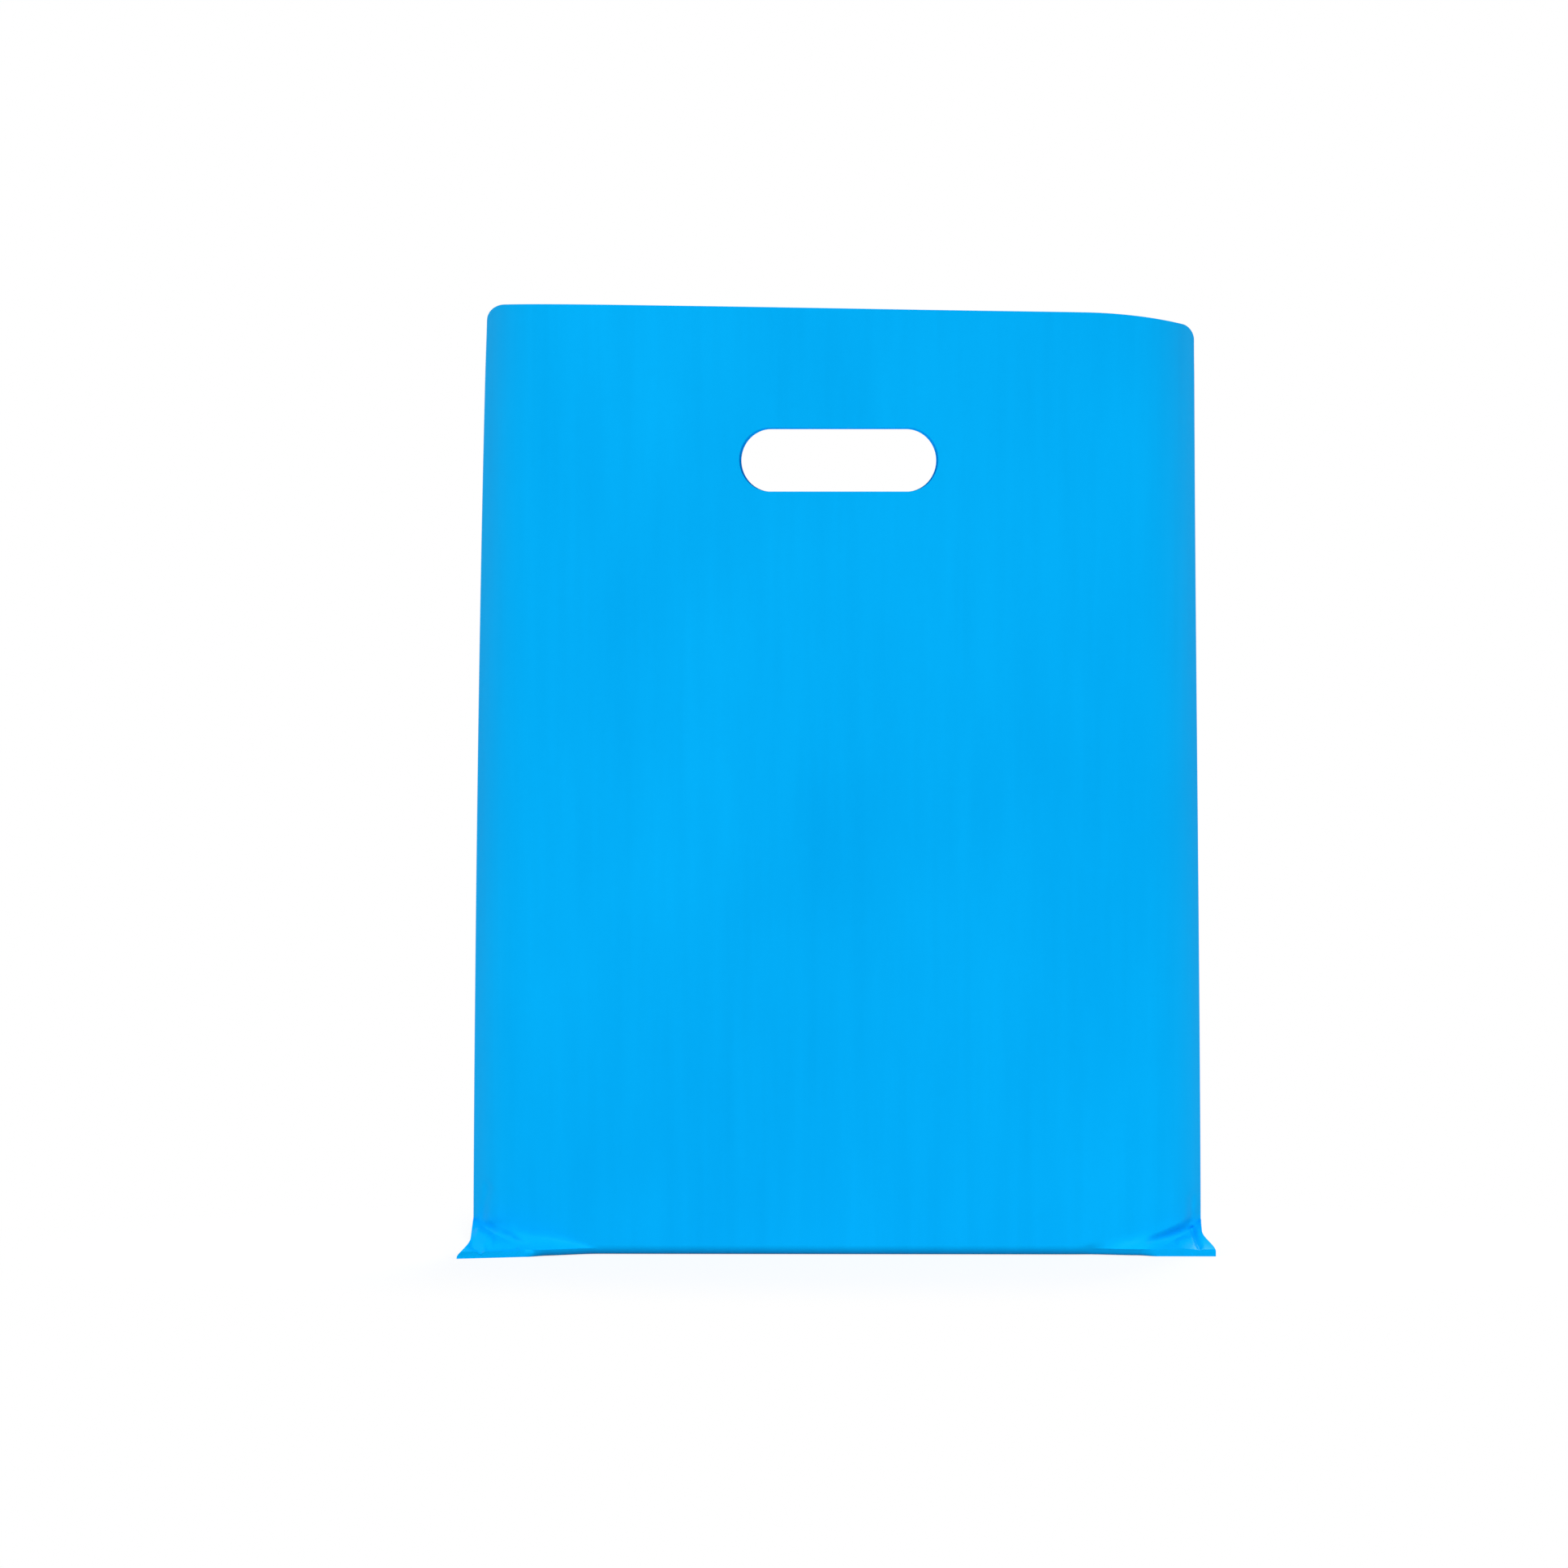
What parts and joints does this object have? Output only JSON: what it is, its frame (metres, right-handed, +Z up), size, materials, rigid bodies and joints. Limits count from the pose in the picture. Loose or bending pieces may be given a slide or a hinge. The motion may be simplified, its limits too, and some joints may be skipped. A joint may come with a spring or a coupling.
{
  "type": "plastic carrier bag",
  "caption": "Blue plastic film carrier bag with a punched hand hole, standing open on its flattened bottom with the seal's ends out as ears.",
  "frame": {"origin": "on the floor, under the middle of the bag's box", "axes": "+Z up from the base to the mouth; +Y towards the back wall, so the pictured front faces -Y; +X along the bottom seal, to the right as seen from the front"},
  "size_m": [0.3, 0.058, 0.3758],
  "materials": {
    "blue_film": "satin"
  },
  "bodies": {
    "root": {"carrier_bag": "blue_film"}
  },
  "joints": []
}
